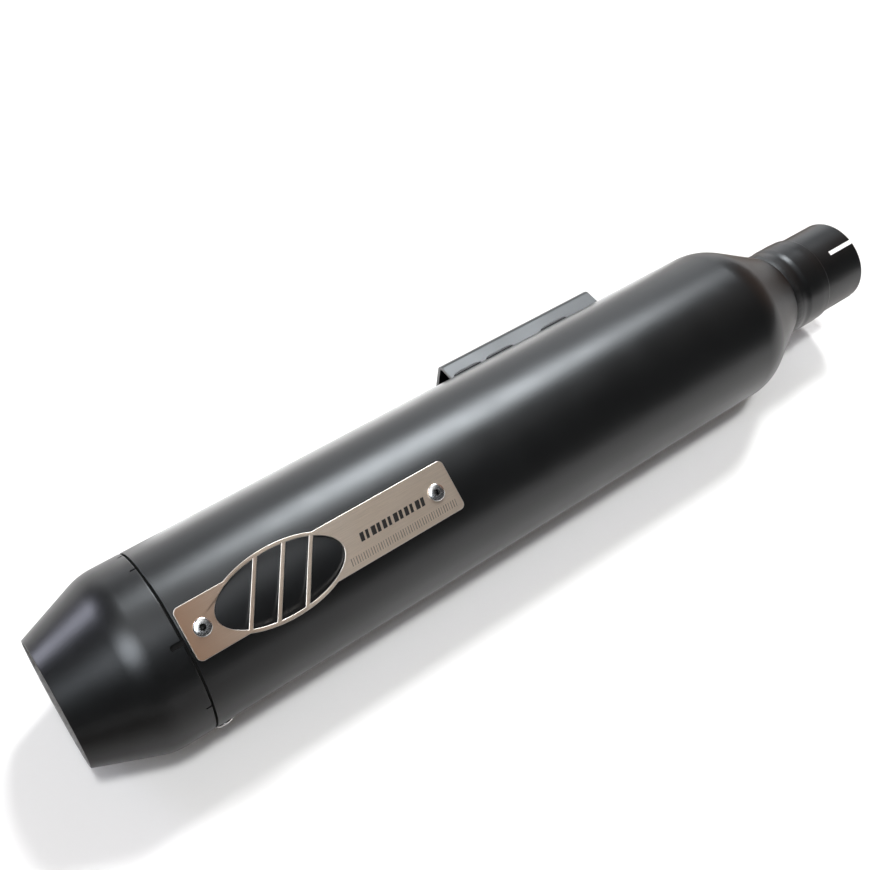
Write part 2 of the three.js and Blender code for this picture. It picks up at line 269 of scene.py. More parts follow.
def upright(profile, facets=64):
    """A mesh of a profile of (height, radius) turned about Z."""
    mesh = turned(profile, facets)
    mesh.transform(Matrix.Rotation(-math.pi / 2, 4, "Y"))
    return mesh


def carve(mesh, bm):
    """The mesh with the solids in bm cut out of it."""
    cutter = bpy.data.objects.new("cutter", finished(bm))
    block = bpy.data.objects.new("block", mesh)
    for thing in (cutter, block):
        bpy.context.scene.collection.objects.link(thing)
    modifier = block.modifiers.new("cut", "BOOLEAN")
    modifier.operation = "DIFFERENCE"
    modifier.solver = "EXACT"
    modifier.object = cutter
    result = applied(block)
    bpy.data.objects.remove(cutter)
    bpy.data.objects.remove(block)
    return result


def applied(thing):
    bpy.context.view_layer.update()
    evaluated = thing.evaluated_get(bpy.context.evaluated_depsgraph_get())
    return bpy.data.meshes.new_from_object(evaluated)


def slot_cutters(places, size, radius, corner, reach=8 * MM):
    """Cutters through a round wall. Each starts at x and runs towards +x, at its angle."""
    bm = bmesh.new()
    length, width = size
    for x, angle in places:
        outline = rounded_rectangle(length, width, corner)
        prism(bm, outline, radius - reach / 2, radius + reach / 2, on_body(x + length / 2, angle))
    return bm


def open_slot(slot):
    """The size of a cutter for a slot that is open at its +x end."""
    return (slot[0] + 2 * MM, slot[1])


def drills(places, radius):
    """Cutters for rivet holes through a round wall, at these (x, angle) places."""
    bm = bmesh.new()
    hole = circle(0, 0, RIVET_R + GAP / 2, 32)
    for x, angle in places:
        prism(bm, hole, radius - 4 * MM, radius + 4 * MM, on_body(x, angle))
    return bm


def bevelled(mesh, width):
    """The mesh with a small rounding on its sharp edges."""
    thing = bpy.data.objects.new("bevelled", mesh)
    bpy.context.scene.collection.objects.link(thing)
    modifier = thing.modifiers.new("bevel", "BEVEL")
    modifier.width = width
    modifier.segments = 2
    modifier.limit_method = "ANGLE"
    modifier.angle_limit = math.radians(40)
    result = applied(thing)
    bpy.data.objects.remove(thing)
    return result


def piece(name, mesh, material, slot, *nodes, sharp=40):
    """Puts the mesh in the scene as a piece that stands for these CAD nodes."""
    mesh.name = name
    mesh.materials.clear()
    mesh.materials.append(material)
    mesh.shade_smooth()
    mesh.set_sharp_from_angle(angle=math.radians(sharp))
    thing = bpy.data.objects.new(name, mesh)
    bpy.context.scene.collection.objects.link(thing)
    weighted = thing.modifiers.new("weighted_normals", "WEIGHTED_NORMAL")
    weighted.keep_sharp = True
    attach(thing, ROOT)
    if nodes:
        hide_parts(*nodes)
    return thing


# ------------------------------------------------------------------ materials

class Shader:
    """A node material with object coordinates in metres, and short calls for what they drive."""

    def __init__(self, name, **values):
        self.material = bpy.data.materials.new(name)
        self.material.use_nodes = True
        self.tree = self.material.node_tree
        self.surface = self.tree.nodes["Principled BSDF"]
        self.coordinates = self.tree.nodes.new("ShaderNodeTexCoord").outputs["Object"]
        self.normal = None
        for socket, value in values.items():
            self.surface.inputs[socket.replace("_", " ")].default_value = value

    def node(self, kind, links=(), **values):
        made = self.tree.nodes.new(kind)
        for key, value in values.items():
            setattr(made, key, value)
        for socket, source in links:
            if hasattr(source, "is_linked"):
                self.tree.links.new(source, made.inputs[socket])
            else:
                made.inputs[socket].default_value = source
        return made

    def stretched(self, x, y, z):
        """The coordinates, in cells of this many metres along each axis."""
        links = (("Vector", self.coordinates), ("Scale", (1 / x, 1 / y, 1 / z)))
        return self.node("ShaderNodeMapping", links).outputs["Vector"]

    def noise(self, size, detail=2.0, roughness=0.5, along=None):
        """Noise with features about size metres across, or longer in x where along is given."""
        vector = self.stretched(along or size, size, size)
        links = (("Vector", vector), ("Scale", 1.0), ("Detail", detail), ("Roughness", roughness))
        return self.node("ShaderNodeTexNoise", links).outputs["Fac"]

    def range(self, source, low, high, start=0.3, end=0.7):
        """Low up to the source value start, high from end on, and even between them."""
        links = (("Value", source), ("From Min", start), ("From Max", end), ("To Min", low), ("To Max", high))
        return self.node("ShaderNodeMapRange", links).outputs["Result"]

    def blend(self, factor, first, second):
        made = self.node("ShaderNodeMix", (("Factor", factor),), data_type="RGBA")
        colours = [socket for socket in made.inputs if socket.type == "RGBA"]
        for socket, value in zip(colours, (first, second)):
            if hasattr(value, "is_linked"):
                self.tree.links.new(value, socket)
            else:
                socket.default_value = (*value, 1.0)
        return [socket for socket in made.outputs if socket.type == "RGBA"][0]

    def bump(self, height, distance, strength=1.0):
        links = [("Height", height), ("Distance", distance), ("Strength", strength)]
        if self.normal:
            links.append(("Normal", self.normal))
        self.normal = self.node("ShaderNodeBump", links).outputs["Normal"]
        self.feed("Normal", self.normal)

    def feed(self, socket, source):
        self.tree.links.new(source, self.surface.inputs[socket])


def powder_coat(name, smoothest, roughest, grain):
    """Satin black powder coat: fine grain over a faint orange peel, with slight dusting."""
    s = Shader(name, Roughness=smoothest, IOR=1.5)
    dusting = s.range(s.noise(55 * MM, 4.0, 0.6), 0.0, 1.0)
    s.feed("Base Color", s.blend(dusting, (0.0022, 0.0022, 0.0023), (0.0034, 0.0034, 0.0035)))
    smudges = s.noise(24 * MM, 3.0, 0.55)
    s.feed("Roughness", s.range(smudges, smoothest, roughest))
    s.bump(s.noise(2.6 * MM, 1.0), 0.010 * MM)
    s.bump(s.noise(0.55 * MM, 3.0, 0.6), grain)
    return s.material


def weld_coat():
    """The same coat over a weld: glossier on the ripples and a little uneven."""
    s = Shader("weld_coat", Roughness=0.4, IOR=1.5)
    s.feed("Base Color", s.blend(s.noise(3 * MM, 2.0), (0.002, 0.002, 0.002), (0.004, 0.004, 0.004)))
    s.feed("Roughness", s.range(s.noise(1.5 * MM), 0.34, 0.5))
    s.bump(s.noise(0.7 * MM, 3.0, 0.6), 0.04 * MM)
    return s.material


def brushed_plate():
    """Stainless sheet brushed lengthwise, warm, with paler wear along it, and painted shade that makes it
    darker and browner towards the outlet end.
    """
    s = Shader("brushed_plate", Metallic=1.0, Roughness=0.35, Anisotropic=0.6)
    s.feed("Tangent", s.node("ShaderNodeTangent", direction_type="RADIAL", axis="X").outputs["Tangent"])
    strokes = s.noise(0.12 * MM, 3.0, 0.7, along=14 * MM)
    fine = s.noise(0.05 * MM, 2.0, 0.6, along=4 * MM)
    warm = s.blend(s.range(strokes, 0.0, 1.0, 0.25, 0.75), (0.62, 0.49, 0.38), (0.92, 0.75, 0.60))
    cloud = s.range(s.noise(30 * MM, 2.0), 0.0, 0.35)
    steel = s.blend(cloud, warm, (0.76, 0.65, 0.55))
    # Painted shade: the plate darkens and browns towards the outlet end, standing in for the window's sheen
    # that only its far end catches.
    along = s.node("ShaderNodeSeparateXYZ", (("Vector", s.coordinates),)).outputs["X"]
    painted_shade_toward_outlet = s.range(along, 0.95, 0.0, PLATE_LOW_X, OVAL_X + 10 * MM)
    s.feed("Base Color", s.blend(painted_shade_toward_outlet, steel, (0.37, 0.22, 0.14)))
    s.feed("Roughness", s.range(fine, 0.30, 0.40))
    s.bump(strokes, 0.010 * MM)
    s.bump(fine, 0.003 * MM)
    return s.material


def plate_edge():
    """The bright cut edge of the nameplate."""
    s = Shader("plate_edge", Metallic=1.0, Roughness=0.3)
    s.feed("Base Color", s.blend(s.noise(1.5 * MM, 2.0), (0.62, 0.55, 0.48), (0.76, 0.70, 0.64)))
    s.bump(s.noise(0.2 * MM, 2.0), 0.004 * MM)
    return s.material


def etched():
    """Dark laser etching on the nameplate."""
    s = Shader("etched", Roughness=0.8, Specular_IOR_Level=0.2)
    s.feed("Base Color", s.blend(s.noise(0.4 * MM, 2.0), (0.008, 0.007, 0.007), (0.02, 0.017, 0.015)))
    s.bump(s.noise(0.12 * MM, 2.0), 0.005 * MM)
    return s.material


def faintly_etched():
    """Shallow etching that is only a little darker than the plate."""
    s = Shader("faintly_etched", Metallic=0.9, Roughness=0.5)
    s.feed("Base Color", s.blend(s.noise(0.4 * MM, 2.0), (0.20, 0.155, 0.12), (0.30, 0.235, 0.185)))
    s.bump(s.noise(0.12 * MM, 2.0), 0.003 * MM)
    return s.material


def bright_rivet():
    """Tumbled stainless rivet, bright with fine scratches."""
    s = Shader("bright_rivet", Metallic=1.0, Roughness=0.16)
    s.feed("Base Color", s.blend(s.noise(1.2 * MM, 2.0), (0.74, 0.72, 0.70), (0.86, 0.85, 0.84)))
    s.feed("Roughness", s.range(s.noise(0.35 * MM, 3.0, 0.65), 0.16, 0.30))
    s.bump(s.noise(0.25 * MM, 3.0), 0.006 * MM)
    return s.material


def pin_painted_shade():
    """The torn end of a rivet's mandrel, near-black: painted shade for the dark bore of the rivet."""
    s = Shader("pin_painted_shade", Metallic=1.0, Roughness=0.5)
    # Painted shade: a near-black base colour that darkens the rivet's bore.
    s.feed("Base Color", s.blend(s.noise(0.3 * MM, 2.0), (0.012, 0.012, 0.012), (0.04, 0.038, 0.036)))
    s.bump(s.noise(0.25 * MM, 3.0, 0.7), 0.05 * MM)
    return s.material


def bare_pipe():
    """Bare drawn steel with heat tint and a soot film that thickens in patches."""
    s = Shader("bare_pipe", Metallic=1.0, Roughness=0.38)
    tint = s.range(s.noise(70 * MM, 2.0), 0.0, 1.0)
    steel = s.blend(tint, (0.40, 0.37, 0.34), (0.36, 0.27, 0.18))
    soot = s.range(s.noise(18 * MM, 4.0, 0.65), 0.0, 0.55, 0.45, 0.75)
    s.feed("Base Color", s.blend(soot, steel, (0.05, 0.045, 0.04)))
    s.feed("Roughness", s.range(s.noise(9 * MM, 3.0), 0.3, 0.55))
    s.bump(s.noise(0.25 * MM, 2.0, 0.6, along=10 * MM), 0.008 * MM)
    return s.material


def overspray():
    """The inside of the end cap: bare metal with a thin grey dusting of paint."""
    s = Shader("overspray", Metallic=0.2, Roughness=0.6)
    dusting = s.range(s.noise(5 * MM, 4.0, 0.6), 0.0, 1.0)
    s.feed("Base Color", s.blend(dusting, (0.26, 0.25, 0.24), (0.42, 0.41, 0.40)))
    s.bump(s.noise(0.3 * MM, 3.0), 0.01 * MM)
    return s.material


def sooted_steel():
    """Bare steel under a matt film of soot, where exhaust gas has crept into the joint."""
    s = Shader("sooted_steel", Metallic=0.2, Roughness=0.85, Specular_IOR_Level=0.2)
    s.feed("Base Color", s.blend(s.noise(6 * MM, 3.0), (0.006, 0.006, 0.006), (0.016, 0.015, 0.014)))
    s.bump(s.noise(0.4 * MM, 3.0), 0.02 * MM)
    return s.material


def wool():
    """Fine stainless wool."""
    s = Shader("wool", Metallic=0.7, Roughness=0.6)
    strands = s.noise(0.4 * MM, 4.0, 0.7, along=3 * MM)
    s.feed("Base Color", s.blend(s.range(strands, 0.0, 1.0), (0.10, 0.10, 0.095), (0.42, 0.41, 0.39)))
    s.bump(strands, 0.5 * MM)
    return s.material


def fibre():
    """Long-strand glass fibre, cream with browner patches."""
    s = Shader("fibre", Roughness=0.9)
    strands = s.noise(0.6 * MM, 5.0, 0.7, along=5 * MM)
    cream = s.blend(s.range(strands, 0.0, 1.0), (0.52, 0.47, 0.34), (0.80, 0.76, 0.62))
    s.feed("Base Color", s.blend(s.range(s.noise(35 * MM, 3.0), 0.0, 0.5), cream, (0.50, 0.38, 0.24)))
    s.surface.inputs["Sheen Weight"].default_value = 0.3
    s.bump(strands, 0.6 * MM)
    return s.material


COAT = powder_coat("powder_coat", 0.31, 0.36, 0.024 * MM)
DULL_COAT = powder_coat("dull_powder_coat", 0.355, 0.405, 0.034 * MM)
WELD = weld_coat()
PLATE = brushed_plate()
CUT_EDGE = plate_edge()
ETCHED = etched()
FAINT = faintly_etched()
RIVET = bright_rivet()
PIN = pin_painted_shade()
PIPE = bare_pipe()
OVERSPRAY = overspray()
SOOTED = sooted_steel()
WOOL = wool()
FIBRE = fibre()


# ------------------------------------------------------------------ body, cap and neck

def make_end_cap():
    """A coned shell with a rounded lip. Its rear edge has a keyway and small notches cut into it."""
    lip = [(OUTLET_X, LIP_R)]
    shoulder = arc(CAP_SHOULDER_X, BODY_R - CAP_SHOULDER_R, CAP_SHOULDER_R, -CAP_CONE_ANGLE, 0, 14)
    outline = lip + shoulder + [(CAP_END_X, BODY_R)]
    mesh = turned(soften(wall(outline, SHEET), LIP_ROUNDING, 5))
    for slot, angles, corner in (
        (KEYWAY, (KEYWAY_ANGLE,), KEYWAY[1] * ROUND_END),
        (NOTCH, NOTCH_ANGLES, SLOT_CORNER),
    ):
        places = [(CAP_END_X - slot[0], angle) for angle in angles]
        mesh = carve(mesh, slot_cutters(places, open_slot(slot), BODY_R, corner))
    cap = piece("end_cap_shell", mesh, COAT, "black_coat", "end_cap")
    mesh.materials.append(OVERSPRAY)
    for polygon in mesh.polygons:
        x, y, z = polygon.center
        inward = -(polygon.normal.y * y + polygon.normal.z * z) / math.hypot(y, z)
        if inward > 0.7 and math.hypot(y, z) < BODY_R - SHEET / 2:
            polygon.material_index = 1
    return cap


def make_body():
    """The body tube. It runs into the front cone with no seam, so that end stays square."""
    corners = [
        (BODY_START_X, BODY_R), (SHOULDER_X, BODY_R), (SHOULDER_X, BODY_BORE), (BODY_START_X, BODY_BORE),
    ]
    mesh = turned(soften(corners, square_x=SHOULDER_X))
    mesh = carve(mesh, drills([(rivet_x(node), angle) for node, angle in RIVET_ANGLES.items()], BODY_R))
    return piece("body_sleeve", mesh, COAT, "black_coat", "body_shell")


CONE_ARC = arc(SHOULDER_X, BODY_R - SHOULDER_R, SHOULDER_R, 0, CONE_ANGLE, 40)


def cone_radius(x):
    """How far the front cone's straight part is from the axis."""
    start_x, start_r = CONE_ARC[-1]
    return start_r - (x - start_x) * math.tan(math.radians(CONE_ANGLE))


def make_front_cone():
    """A tight shoulder, then a straight cone that ends at the neck weld."""
    profile = wall(CONE_ARC + [(CONE_END_X, cone_radius(CONE_END_X))], SHEET, TUBE_CLEARANCE)
    mesh = turned(soften(profile, square_x=SHOULDER_X))
    return piece("front_cone_shell", mesh, COAT, "black_coat", "front_cone")


def make_neck_weld():
    """A low dressed weld with soft ripples, that fairs the cone into the sleeve under the paint."""
    low, high = low_x("neck_weld") - GAP, high_x("neck_weld") + GAP
    base = TUBE_CLEARANCE
    cone_r, sleeve_r = cone_radius(low), outer_radius("neck_sleeve") - 0.3 * MM
    crown = 0.18 * MM
    ripples, ripple_height, ripple_lean = 64, 0.03 * MM, 1.2
    steps = 16
    profile = [(low, base)]
    for i in range(steps + 1):
        t = i / steps
        fair = cone_r + (sleeve_r - cone_r) * t * (2 - t)
        profile.append((low + (high - low) * t, fair + crown * math.sin(math.pi * t)))
    profile.append((high, base))
    mesh = turned(profile, 360)
    for vertex in mesh.vertices:
        x, y, z = vertex.co
        radius = math.hypot(y, z)
        t = (x - low) / (high - low)
        if radius > base + 0.3 * MM:
            angle = math.atan2(y, z)
            ripple = ripple_height * math.sin(ripples * angle + ripple_lean * t)
            ripple *= math.sin(math.pi * min(max(t, 0), 1))
            vertex.co = Vector((x, y * (1 + ripple / radius), z * (1 + ripple / radius)))
    return piece("neck_weld_bead", mesh, WELD, "black_coat", "neck_weld")


def make_neck_sleeve():
    """The sleeve over the inlet, with a shallow rolled groove and a swaged front end."""
    low, high = low_x("neck_sleeve") - GAP, high_x("neck_sleeve")
    crown = outer_radius("neck_sleeve")
    bore = INLET_R + 0.05 * MM
    tip = 1.1 * MM
    tip_r = crown - 0.25 * MM
    knots = (
        (low, crown - 0.3 * MM),
        (low + 1.0 * MM, crown - 0.32 * MM),
        (low + 4.4 * MM, crown - 0.5 * MM),
        (low + 9.2 * MM, crown),
        (high - 8 * MM, crown),
        (high - tip, tip_r),
    )
    outline = []
    for (x0, r0), (x1, r1) in zip(knots, knots[1:]):
        for step in range(10):
            t = step / 10
            outline.append((x0 + (x1 - x0) * t, r0 + (r1 - r0) * t * t * (3 - 2 * t)))
    outline += arc(high - tip, tip_r - tip, tip, 0, 85, 8)
    profile = [(low, bore)] + outline + [(high, bore)]
    return piece("neck_sleeve_ring", turned(profile), COAT, "black_coat", "neck_sleeve")


def make_inlet_tube():
    low, high = low_x("inlet_tube"), high_x("inlet_tube")
    mesh = turned(ring(low, high, INLET_R, INLET_R - SHEET), 240)
    places = [(high - CLAMP_SLOT[0], angle) for angle in CLAMP_SLOT_ANGLES]
    mesh = carve(mesh, slot_cutters(places, open_slot(CLAMP_SLOT), INLET_R, SLOT_CORNER))
    return piece("inlet_tube_slotted", mesh, COAT, "black_coat", "inlet_tube")


# ------------------------------------------------------------------ inside

def make_spigot():
    mesh = turned(ring(low_x("cap_spigot"), high_x("cap_spigot"), SPIGOT_R, SPIGOT_BORE))
    riveted = [node for node in RIVET_ANGLES if rivet_x(node) < high_x("cap_spigot")]
    mesh = carve(mesh, drills([(rivet_x(node), RIVET_ANGLES[node]) for node in riveted], SPIGOT_R))
    return piece("cap_spigot_ring", mesh, SOOTED, "pipe_steel", "cap_spigot")


def make_outlet_tube():
    mesh = turned(ring(low_x("outlet_tube"), high_x("outlet_tube"), OUTLET_TUBE_R, OUTLET_TUBE_R - SHEET))
    return piece("outlet_tube_pipe", mesh, PIPE, "pipe_steel", "outlet_tube")


def make_bulkhead(node, disc_at_low, hole, rim):
    """A pressed disc with a rounded turn into its flange."""
    low, high = low_x(node), high_x(node)
    disc, flange = (low, high) if disc_at_low else (high, low)
    way = 1 if disc_at_low else -1
    back = disc + way * SHEET
    corners = [
        (disc, hole), (disc, rim), (flange, rim),
        (flange, rim - SHEET), (back, rim - SHEET), (back, hole),
    ]
    profile = soften(corners, 1.0 * MM, 5)
    return piece(node + "_disc", turned(profile), PIPE, "pipe_steel", node)


def make_core():
    """The perforated tube, with staggered rows of round holes through it."""
    low, high = low_x("perforated_core"), high_x("perforated_core")
    start, end = low + CORE_PLAIN_REAR, high - CORE_PLAIN_FRONT
    inner = CORE_R - CORE_WALL
    rows = round((end - start) / PERFORATION_PITCH)
    pitch_x = (end - start) / rows
    pitch_angle = 2 * math.pi / PERFORATION_COLUMNS
    corners = 8
    bm = bmesh.new()
    made = {}

    def vertex(x, angle, radius):
        """The mesh's vertex here, made the first time that it is asked for."""
        around = round(angle / pitch_angle * 1000) % (PERFORATION_COLUMNS * 1000)
        key = (round(x / (0.01 * MM)), around, radius)
        if key not in made:
            made[key] = bm.verts.new((x, radius * math.sin(angle), radius * math.cos(angle)))
        return made[key]

    def band(x0, r0, x1, r1):
        """Faces all the way round, between two rings."""
        for k in range(PERFORATION_COLUMNS * 2):
            a, b = k * pitch_angle / 2, (k + 1) * pitch_angle / 2
            bm.faces.new((vertex(x0, a, r0), vertex(x0, b, r0), vertex(x1, b, r1), vertex(x1, a, r1)))

    def rim(middle_x, middle, radius):
        """One hole in one face of the wall, with the faces round it out to its square cell."""
        cell, hole = [], []
        for k in range(corners):
            turn = 2 * math.pi * k / corners
            u = max(-1, min(1, math.sqrt(2) * math.cos(turn)))
            v = max(-1, min(1, math.sqrt(2) * math.sin(turn)))
            cell.append(vertex(middle_x + u * pitch_x / 2, middle + v * pitch_angle / 2, radius))
            hole_angle = middle + PERFORATION_R * math.sin(turn) / CORE_R
            hole.append(vertex(middle_x + PERFORATION_R * math.cos(turn), hole_angle, radius))
        for k in range(corners):
            j = (k + 1) % corners
            bm.faces.new((cell[k], cell[j], hole[j], hole[k]))
        return hole

    for row in range(rows):
        for column in range(PERFORATION_COLUMNS):
            place = (start + (row + 0.5) * pitch_x, (column + (row % 2) / 2) * pitch_angle)
            outside, inside = rim(*place, CORE_R), rim(*place, inner)
            for k in range(corners):
                j = (k + 1) % corners
                bm.faces.new((outside[k], outside[j], inside[j], inside[k]))
    for radius in (CORE_R, inner):
        band(low, radius, start, radius)
        band(end, radius, high, radius)
    for x in (low, high):
        band(x, CORE_R, x, inner)
    return piece("perforated_core_tube", finished(bm), PIPE, "pipe_steel", "perforated_core")


def make_wrap(name, node, outer, inner, material, slot, depth):
    """A wound fibre sleeve: its outer face is lumpy, and its ends are soft."""
    low, high = low_x(node), high_x(node)
    rows, inner_rows = 90, 8
    length = high - low
    outline = [(low + length * i / rows, outer) for i in range(rows + 1)]
    inner_line = [(low + length * i / inner_rows, inner) for i in range(inner_rows + 1)]
    mesh = turned(soften(outline + inner_line[::-1], 2.0 * MM, 4), 128)
    for vertex in mesh.vertices:
        x, y, z = vertex.co
        radius = math.hypot(y, z)
        if radius > (outer + inner) / 2:
            lump = noise.fractal(Vector((x / (12 * MM), y / (7 * MM), z / (7 * MM))), 0.8, 2.0, 4)
            sunk = depth * min(1.0, max(0.0, 0.5 + 0.5 * lump))
            vertex.co = Vector((x, y * (1 - sunk / radius), z * (1 - sunk / radius)))
    return piece(name, mesh, material, slot, node)


# ------------------------------------------------------------------ bracket

def make_bracket():
    """A channel folded from flat bar, with bolt slots in its web and its feet cut to the body's round."""
    low, high = BRACKET_LOW, BRACKET_HIGH
    half = high.z
    face = high.y
    foot = low.y - 3 * MM
    fold_y, fold_z = face - FOLD_R, half - FOLD_R
    outer, inner = [], []
    for step in range(13):
        angle = math.pi / 2 * step / 12
        outer.append((fold_y + FOLD_R * math.sin(angle), fold_z + FOLD_R * math.cos(angle)))
        inner_r = FOLD_R - BRACKET_WALL
        inner.append((fold_y + inner_r * math.sin(angle), fold_z + inner_r * math.cos(angle)))
    upper = [(foot, half)] + outer
    lower = [(y, -z) for y, z in reversed(upper)]
    inner_upper = [(foot, half - BRACKET_WALL)] + inner
    inner_lower = [(y, -z) for y, z in reversed(inner_upper)]
    outline = upper + lower + list(reversed(inner_upper + inner_lower))
    along_x = Matrix(((0, 0, 1, 0), (1, 0, 0, 0), (0, 1, 0, 0), (0, 0, 0, 1)))
    bm = bmesh.new()
    prism(bm, outline, low.x, high.x, along_x)
    mesh = finished(bm)

    middle = (low.x + high.x) / 2
    places = [(middle + side * BOLT_SLOT_SPACING / 2 - BOLT_SLOT[0] / 2, 90) for side in (-1, 1)]
    mesh = carve(mesh, slot_cutters(places, BOLT_SLOT, face, BOLT_SLOT[1] * ROUND_END, 12 * MM))
    mesh = carve(mesh, body_cutter(low.x, high.x))
    mesh = carve(mesh, corner_cutter(high.x, face))
    mesh = bevelled(mesh, 0.35 * MM)
    return piece("bracket_folded_channel", mesh, DULL_COAT, "black_coat", "bracket_channel", sharp=50)


def body_cutter(low, high):
    """The body as a solid, just past both ends of the bracket."""
    past = 9 * MM
    radius = BODY_R + 0.1 * MM
    bm = bmesh.new()
    bm.from_mesh(turned([(low - past, 0), (low - past, radius), (high + past, radius), (high + past, 0)]))
    return bm


def corner_cutter(end_x, face):
    """Rounds the channel's outer corner at the inlet end, across both flanges and the web."""
    radius = FLANGE_CORNER
    centre_x, centre_y = end_x - radius, face - radius
    past = 1 * MM
    outline = [(end_x + past, centre_y), (end_x + past, face + past), (centre_x, face + past)]
    for step in range(9):
        angle = math.pi / 2 * (1 - step / 8)
        outline.append((centre_x + radius * math.cos(angle), centre_y + radius * math.sin(angle)))
    bm = bmesh.new()
    prism(bm, outline, -BRACKET_HIGH.z - past, BRACKET_HIGH.z + past, Matrix.Identity(4))
    return bm


def make_stitch(node, side):
    """A fillet weld of overlapping ripples, between the flange's foot and the body."""
    low, high = low_x(node), high_x(node)
    half = BRACKET_HIGH.z
    foot_y = math.sqrt(BODY_R ** 2 - half ** 2)
    rings, around, ripples = 72, 20, 9
    bm = bmesh.new()
    rows = []
    for i in range(rings + 1):
        t = i / rings
        x = low + (high - low) * t
        rounded_end = math.sqrt(max(0.0, 1 - (2 * t - 1) ** 6))
        ripple = 0.86 + 0.14 * abs(math.sin(math.pi * t * ripples))
        ripple += 0.3 * noise.noise(Vector((x * 160, side, 0)))
        size = max(0.05, rounded_end) * ripple * STITCH_R
        row = []
        for k in range(around):
            a = 2 * math.pi * k / around
            out = half + STITCH_OUT + size * math.cos(a)
            row.append(bm.verts.new((x, foot_y + STITCH_UP + size * math.sin(a), side * out)))
        rows.append(row)
    for a, b in zip(rows, rows[1:]):
        for k in range(around):
            j = (k + 1) % around
            bm.faces.new((a[k], a[j], b[j], b[k]))
    bm.faces.new(rows[0][::-1])
    bm.faces.new(rows[-1])
    return piece(node + "_bead", finished(bm), WELD, "black_coat", node)


# ------------------------------------------------------------------ nameplate

def ellipse_point(size, angle):
    return (size[0] * math.cos(angle), size[1] * math.sin(angle))


def plate_outline():
    """The plate's edge, with the oval standing out past both long sides."""
    start_u, end_u = PLATE_LOW_X - OVAL_X, PLATE_HIGH_X - OVAL_X
    half = PLATE_WIDTH / 2
    meet = math.asin(half / OVAL[1])
    points = []
    steps = 36

    def corner(u, v, first):
        for step in range(9):
            angle = math.radians(first + 90 * step / 8)
            points.append((u + PLATE_CORNER * math.cos(angle), v + PLATE_CORNER * math.sin(angle)))

    corner(end_u - PLATE_CORNER, -half + PLATE_CORNER, -90)
    corner(end_u - PLATE_CORNER, half - PLATE_CORNER, 0)
    points.extend(ellipse_point(OVAL, meet + (math.pi - 2 * meet) * i / steps) for i in range(steps + 1))
    corner(start_u + PLATE_CORNER, half - PLATE_CORNER, 90)
    corner(start_u + PLATE_CORNER, -half + PLATE_CORNER, 180)
    points.extend(
        ellipse_point(OVAL, math.pi + meet + (math.pi - 2 * meet) * i / steps) for i in range(steps + 1))
    return points


def opening(left, right):
    """One opening in the oval, between two slanting lines given by where they cross the long axis."""
    size = (OVAL[0] - OVAL_RING, OVAL[1] - OVAL_RING)
    lean = math.tan(math.radians(OVAL_BAR_TILT))

    def inside(angle):
        u, v = ellipse_point(size, angle)
        return left <= u - v * lean <= right

    def crossing(a, b):
        """Where the oval crosses a line, between these two angles of it."""
        first = inside(a)
        for _ in range(30):
            middle = (a + b) / 2
            if inside(middle) == first:
                a = middle
            else:
                b = middle
        return ellipse_point(size, (a + b) / 2)

    steps = 720
    turn = 2 * math.pi / steps
    points = []
    for angle in (2 * math.pi * i / steps for i in range(steps)):
        if not inside(angle):
            continue
        if not inside(angle - turn):
            points.append(crossing(angle - turn, angle))
        points.append(ellipse_point(size, angle))
        if not inside(angle + turn):
            points.append(crossing(angle, angle + turn))
    return points


def plate_openings():
    """The oval's openings, on both sides of each bar."""
    wide = OVAL[0] * 3
    half = OVAL_BAR / 2 / math.cos(math.radians(OVAL_BAR_TILT))
    edges = [-wide]
    for i in (-1, 0, 1):
        edges.extend((i * OVAL_BAR_SPACING - half, i * OVAL_BAR_SPACING + half))
    edges.append(wide)
    return [opening(edges[i], edges[i + 1]) for i in range(0, len(edges), 2)]


def flat_sheet(outlines, thickness, bevel):
    """A sheet with holes: a filled curve with rounded edges, as a mesh that stands on z = 0."""
    curve = bpy.data.curves.new("outline", "CURVE")
    curve.dimensions = "2D"
    curve.fill_mode = "BOTH"
    for outline in outlines:
        spline = curve.splines.new("POLY")
        spline.points.add(len(outline) - 1)
        for point, (u, v) in zip(spline.points, outline):
            point.co = (u, v, 0, 1)
        spline.use_cyclic_u = True
    curve.offset = -bevel
    curve.extrude = thickness / 2 - bevel
    curve.bevel_depth = bevel
    curve.bevel_resolution = 2
    thing = bpy.data.objects.new("outline", curve)
    bpy.context.scene.collection.objects.link(thing)
    mesh = applied(thing)
    bpy.data.objects.remove(thing)
    bm = bmesh.new()
    bm.from_mesh(mesh)
    bmesh.ops.remove_doubles(bm, verts=bm.verts, dist=0.002 * MM)
    bmesh.ops.translate(bm, verts=bm.verts, vec=(0, 0, thickness / 2))
    return finished(bm)


def make_nameplate():
    """The plate, with its side edges brighter than its faces."""
    rivet_holes = [circle(rivet_x(node) - OVAL_X, 0, RIVET_R + GAP) for node in PLATE_RIVETS]
    outlines = [plate_outline(), *plate_openings(), *rivet_holes]
    mesh = flat_sheet(outlines, PLATE_THICKNESS, PLATE_BEVEL)
    mesh.transform(on_body(OVAL_X, PLATE_ANGLE) @ Matrix.Translation((0, 0, PLATE_BASE)))
    plate = piece("nameplate_sheet", mesh, PLATE, "nameplate_steel", "nameplate", sharp=60)
    mesh.materials.append(CUT_EDGE)
    out = Vector((0, math.sin(math.radians(PLATE_ANGLE)), math.cos(math.radians(PLATE_ANGLE))))
    for polygon in mesh.polygons:
        if polygon.normal.dot(out) < 0.97:
            polygon.material_index = 1
    return plate


